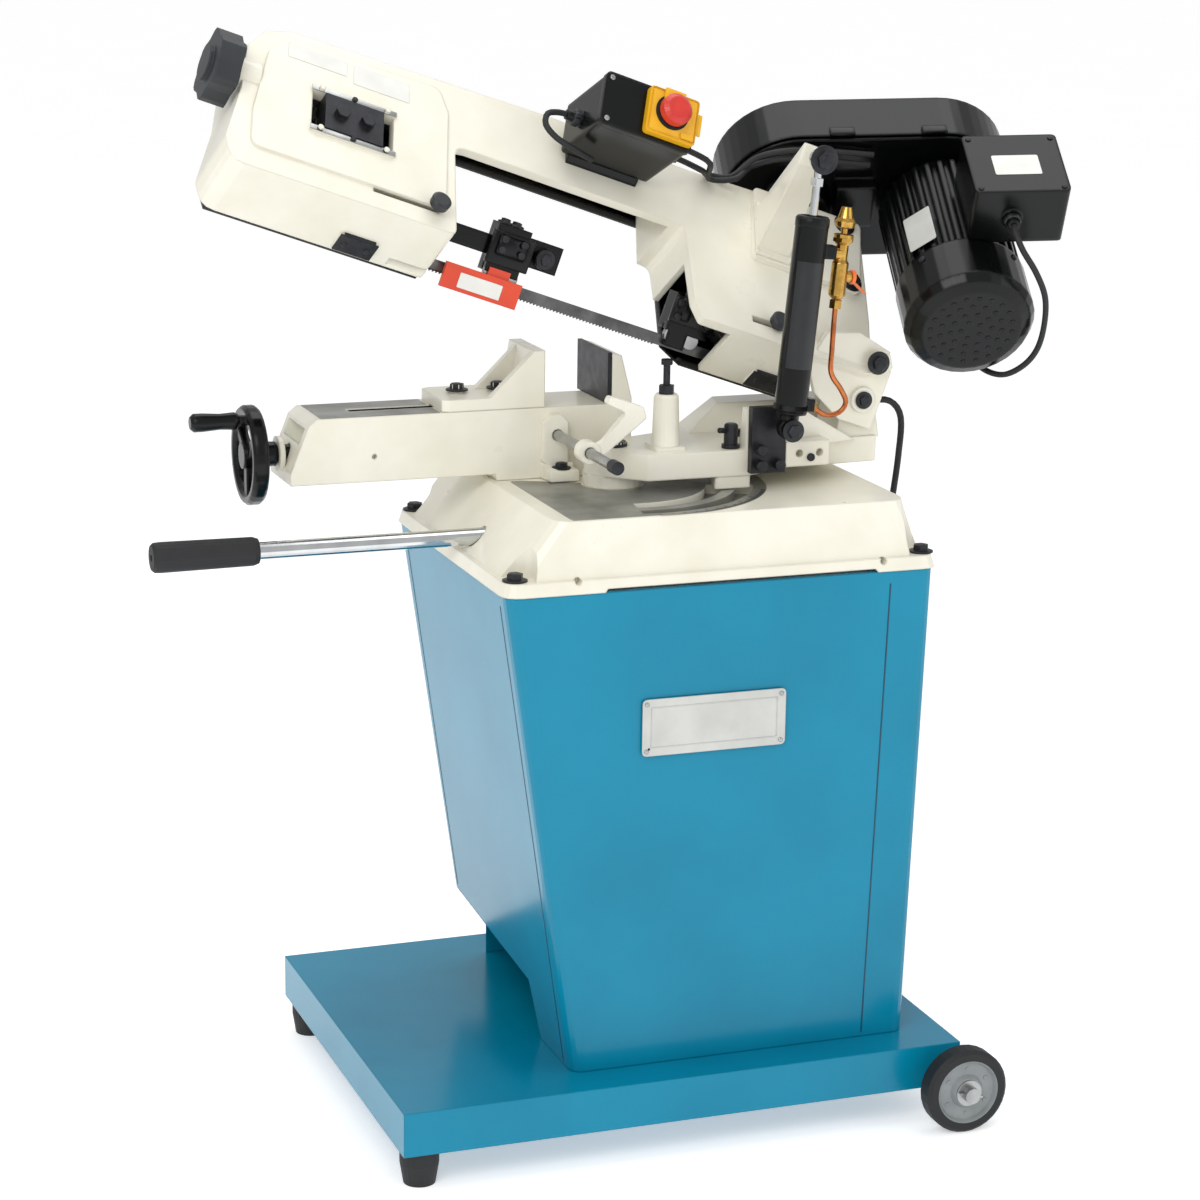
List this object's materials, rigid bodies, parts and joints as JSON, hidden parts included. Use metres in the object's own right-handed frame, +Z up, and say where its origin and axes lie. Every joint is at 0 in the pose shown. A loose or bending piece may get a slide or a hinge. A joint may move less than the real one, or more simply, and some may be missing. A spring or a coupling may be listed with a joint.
{
  "type": "horizontal mitring band saw on a wheeled stand",
  "caption": "Band saw with canted bow head, hydraulic feed, screw vise and swivelling arm on a blue cabinet stand with tray and transport wheels.",
  "frame": {"origin": "on the floor, under the middle of the bounding box without the mains lead", "axes": "+X to the operator's right, +Y away from the operator, +Z up"},
  "size_m": [1.092, 0.7066, 1.2367],
  "materials": {
    "cream_paint": "satin cream enamel on iron",
    "blue_paint": "gloss blue enamel on sheet steel",
    "black_paint": "gloss black enamel",
    "grey_plastic_dark": "moulded dark grey plastic",
    "rubber": "black rubber",
    "steel": "machined steel",
    "chrome": "polished chrome",
    "oxide": "black oxide on steel",
    "red_paint": "red enamel",
    "yellow_plastic": "yellow plastic",
    "red_plastic": "red plastic",
    "brass": "plain brass",
    "hub_grey": "grey plastic hub, black rubber tread",
    "plain_plate": "plain plate"
  },
  "bodies": {
    "base": {"tray": "blue_paint", "foot_front": "rubber", "foot_rear": "rubber", "cabinet": "blue_paint", "badge_plate": "plain_plate", "axle": "steel", "base_casting": "cream_paint", "vise_body": "cream_paint", "fixed_jaw": "cream_paint", "fixed_jaw_plate": "oxide", "stop_rod": "steel", "mains_cord": "rubber", "cord_coil": "rubber", "mains_plug": "rubber"},
    "lift_handle": {"lift_bar": "chrome", "lift_bar_grip": "rubber"},
    "front_wheel": {"wheel_front": "hub_grey"},
    "rear_wheel": {"wheel_rear": "hub_grey"},
    "moving_jaw": {"moving_jaw": "cream_paint"},
    "handwheel": {"handwheel": "black_paint"},
    "crank_grip": {"crank_grip": "black_paint"},
    "stop_arm": {"stop_arm": "cream_paint"},
    "swivel": {"swivel_arm": "cream_paint", "cylinder_bracket": "oxide", "cord_strain_relief": "rubber"},
    "head_stop": {"head_stop_bolt": "oxide"},
    "mitre_clamp": {"mitre_clamp_bolt": "oxide"},
    "head": {"head_casting": "cream_paint", "saw_band": "steel", "switch_box": "black_paint", "switch_plate": "yellow_plastic", "switch_seat": "black_paint", "belt_guard_plate": "black_paint", "motor": "black_paint", "fan_cover": "black_paint", "terminal_box": "black_paint", "rod_bracket": "cream_paint", "drive_belt": "rubber", "belt_cover": "black_paint", "drive_wheel_cover": "black_paint"},
    "band_cover": {"band_cover": "black_paint"},
    "drive_wheel": {"drive_band_wheel": "steel"},
    "tension_slide": {"tension_block": "oxide"},
    "idler_wheel": {"idler_band_wheel": "steel"},
    "tension_knob": {"tension_knob": "grey_plastic_dark"},
    "motor_pulley": {"motor_pulley": "steel"},
    "driven_pulley": {"driven_pulley": "steel"},
    "left_guide": {"left_guide": "black_paint", "left_guide_guard": "red_paint"},
    "left_guide_knob": {"left_guide_knob": "grey_plastic_dark"},
    "right_guide": {"right_guide": "black_paint"},
    "right_guide_knob": {"right_guide_knob": "grey_plastic_dark"},
    "cylinder": {"feed_cylinder": "black_paint", "flow_valve": "brass"},
    "flow_knob": {"flow_knob": "brass"},
    "shutoff_lever": {"shutoff_lever": "red_plastic"},
    "feed_rod": {"feed_rod": "chrome"},
    "stop_button": {"stop_button": "red_plastic"}
  },
  "joints": [
    {"name": "front_wheel_spin", "type": "hinge", "parent": "base", "child": "front_wheel", "pos_m": [0.3311, -0.292, 0.05], "axis": [0, 1, 0], "continuous": true},
    {"name": "rear_wheel_spin", "type": "hinge", "parent": "base", "child": "rear_wheel", "pos_m": [0.3311, 0.292, 0.05], "axis": [0, 1, 0], "continuous": true},
    {"name": "lift_bar_slide", "type": "slide", "parent": "base", "child": "lift_handle", "axis": [-1, 0, 0], "range_m": [0, 0.06]},
    {"name": "jaw_slide", "type": "slide", "parent": "base", "child": "moving_jaw", "axis": [1, 0, 0], "range_m": [-0.05, 0.07]},
    {"name": "handwheel_turn", "type": "hinge", "parent": "base", "child": "handwheel", "pos_m": [-0.4059, 0.082, 0.7607], "axis": [1, 0, 0], "range_deg": [-4500, 6300]},
    {"name": "crank_grip_spin", "type": "hinge", "parent": "handwheel", "child": "crank_grip", "pos_m": [-0.4243, 0.064, 0.804], "axis": [1, 0, 0], "continuous": true},
    {"name": "stop_arm_slide", "type": "slide", "parent": "base", "child": "stop_arm", "axis": [0, 1, 0], "range_m": [-0.07, 0.06]},
    {"name": "mitre_swing", "type": "hinge", "parent": "base", "child": "swivel", "pos_m": [-0.0074, -0.0145, 0.7235], "axis": [0, 0, 1], "range_deg": [-28, 0]},
    {"name": "head_stop_turn", "type": "hinge", "parent": "swivel", "child": "head_stop", "pos_m": [0.0446, -0.046, 0.8313], "axis": [0, 0, 1], "range_deg": [-360, 360]},
    {"name": "mitre_clamp_turn", "type": "hinge", "parent": "swivel", "child": "mitre_clamp", "pos_m": [0.1171, -0.064, 0.7683], "axis": [0, 0, 1], "range_deg": [0, 90]},
    {"name": "head_hinge", "type": "hinge", "parent": "swivel", "child": "head", "pos_m": [0.2856, -0.011, 0.8128], "axis": [0, -1, 0], "range_deg": [-25, 17.5]},
    {"name": "band_cover_swing", "type": "hinge", "parent": "head", "child": "band_cover", "pos_m": [-0.04919, 0.15808, 1.06576], "axis": [0.9427, 0, -0.3336], "range_deg": [0, 90]},
    {"name": "drive_wheel_turn", "type": "hinge", "parent": "head", "child": "drive_wheel", "pos_m": [0.20956, 0.07464, 0.89767], "axis": [0.2359, -0.7071, 0.6666], "continuous": true},
    {"name": "tension_slide", "type": "slide", "parent": "head", "child": "tension_slide", "axis": [0.9427, 0, -0.3336], "range_m": [0, 0.006]},
    {"name": "idler_wheel_turn", "type": "hinge", "parent": "tension_slide", "child": "idler_wheel", "pos_m": [-0.34003, 0.07464, 1.09219], "axis": [0.2359, -0.7071, 0.6666], "continuous": true},
    {"name": "tension_knob_turn", "type": "hinge", "parent": "head", "child": "tension_knob", "pos_m": [-0.42816, 0.04353, 1.18938], "axis": [0.9427, 0, -0.3336], "range_deg": [-10, 1240]},
    {"name": "motor_turn", "type": "hinge", "parent": "head", "child": "motor_pulley", "pos_m": [0.44781, 0.11817, 1.0425], "axis": [0.1914, 0.8192, 0.5407], "continuous": true},
    {"name": "driven_pulley_turn", "type": "hinge", "parent": "head", "child": "driven_pulley", "pos_m": [0.28293, 0.15937, 1.03843], "axis": [0.1914, 0.8192, 0.5407], "continuous": true},
    {"name": "left_guide_slide", "type": "slide", "parent": "head", "child": "left_guide", "axis": [-0.9427, 0, 0.3336], "range_m": [0, 0.055]},
    {"name": "left_guide_knob_turn", "type": "hinge", "parent": "left_guide", "child": "left_guide_knob", "pos_m": [-0.22507, -0.04048, 1.04835], "axis": [0.2359, -0.7071, 0.6666], "range_deg": [0, 360]},
    {"name": "right_guide_slide", "type": "slide", "parent": "head", "child": "right_guide", "axis": [-0.9427, 0, 0.3336], "range_m": [0, 0.025]},
    {"name": "right_guide_knob_turn", "type": "hinge", "parent": "right_guide", "child": "right_guide_knob", "pos_m": [0.17949, -0.03977, 0.90142], "axis": [0.2359, -0.7071, 0.6666], "range_deg": [0, 360]},
    {"name": "cylinder_swing", "type": "hinge", "parent": "swivel", "child": "cylinder", "pos_m": [0.1651, -0.115, 0.797], "axis": [0, 1, 0], "range_deg": [-16.24, 22.99]},
    {"name": "feed_rod_swing", "type": "hinge", "parent": "head", "child": "feed_rod", "pos_m": [0.1941, -0.115, 1.0986], "axis": [0, 1, 0], "range_deg": [-3.01, 2.26]},
    {"name": "flow_knob_turn", "type": "hinge", "parent": "cylinder", "child": "flow_knob", "pos_m": [0.22621, -0.115, 1.01465], "axis": [0.0957, 0, 0.9954], "range_deg": [-180, 180]},
    {"name": "shutoff_lever_turn", "type": "hinge", "parent": "cylinder", "child": "shutoff_lever", "pos_m": [0.236, -0.115, 0.96599], "axis": [0.9954, 0, -0.0957], "range_deg": [0, 90]},
    {"name": "stop_button_press", "type": "slide", "parent": "head", "child": "stop_button", "axis": [-0.1515, 0.891, -0.428], "range_m": [0, 0.0035], "stiffness_N_per_m": 400}
  ],
  "couplings": [
    {"joint": "handwheel_turn", "follows": "jaw_slide", "rad_per_m": 1570.8},
    {"joint": "tension_knob_turn", "follows": "tension_slide", "rad_per_m": 3590.4},
    {"joint": "driven_pulley_turn", "follows": "motor_turn", "ratio": 0.40741},
    {"joint": "drive_wheel_turn", "follows": "motor_turn", "ratio": 0.016296},
    {"joint": "idler_wheel_turn", "follows": "motor_turn", "ratio": 0.016296},
    {"joint": "cylinder_swing", "follows": "head_hinge", "ratio": -0.8995},
    {"joint": "feed_rod_swing", "follows": "head_hinge", "ratio": 0.1005}
  ]
}
